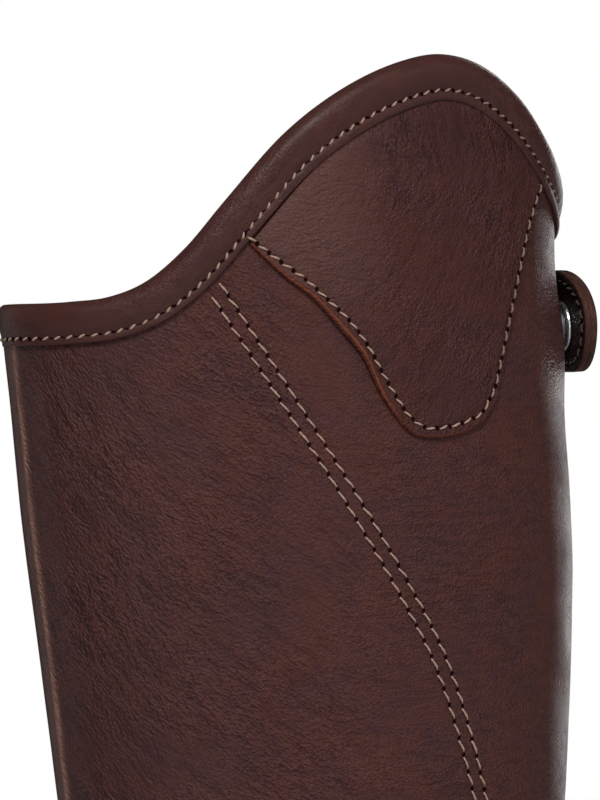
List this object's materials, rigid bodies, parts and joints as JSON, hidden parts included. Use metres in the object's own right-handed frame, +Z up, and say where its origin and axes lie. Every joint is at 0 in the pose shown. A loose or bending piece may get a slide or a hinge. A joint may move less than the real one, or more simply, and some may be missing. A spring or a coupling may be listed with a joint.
{
  "type": "leather half chap (riding gaiter), left leg, one of a pair",
  "caption": "Hollow calf-high riding gaiter in grained leather: top raised on the outer side, bound top and hem, slanting seam, knee overlay, back zip and a snap tab over it.",
  "frame": {"origin": "on the leg's axis inside the gaiter, level with the fullest part of the calf, where the wearer's leg holds it", "axes": "+Z up along the leg towards the knee, -X the shin, +X the calf and the zip, -Y the outer side of a left leg, +Y the inner side"},
  "size_m": [0.1615, 0.1009, 0.4209],
  "materials": {
    "panel_leather": "pebbled full-grain leather, soft sheen",
    "binding_leather": "smooth leather, soft sheen",
    "overlay_leather": "grained leather with raw cut edges",
    "tab_leather": "two layers of smooth leather with dyed edges",
    "zip_tape": "woven tape",
    "zip_metal": "dark antique metal",
    "snap_metal": "polished nickel"
  },
  "bodies": {
    "gaiter": {"front_panel": "panel_leather", "outer_panel": "panel_leather", "top_band": "binding_leather", "hem_band": "binding_leather", "knee_overlay": "overlay_leather", "snap_tab": "tab_leather", "zip_tape_outer": "zip_tape", "zip_tape_inner": "zip_tape", "zip_chain": "zip_metal", "zip_slider": "zip_metal", "snap_cap": "snap_metal", "snap_socket": "snap_metal", "snap_stud": "snap_metal"},
    "pull": {"zip_pull": "zip_metal"}
  },
  "joints": [
    {"name": "pull_swing", "type": "hinge", "parent": "gaiter", "child": "pull", "pos_m": [0.0685, 0.01767, 0.03619], "axis": [0.3873, -0.922, 0], "range_deg": [0, 160]}
  ]
}
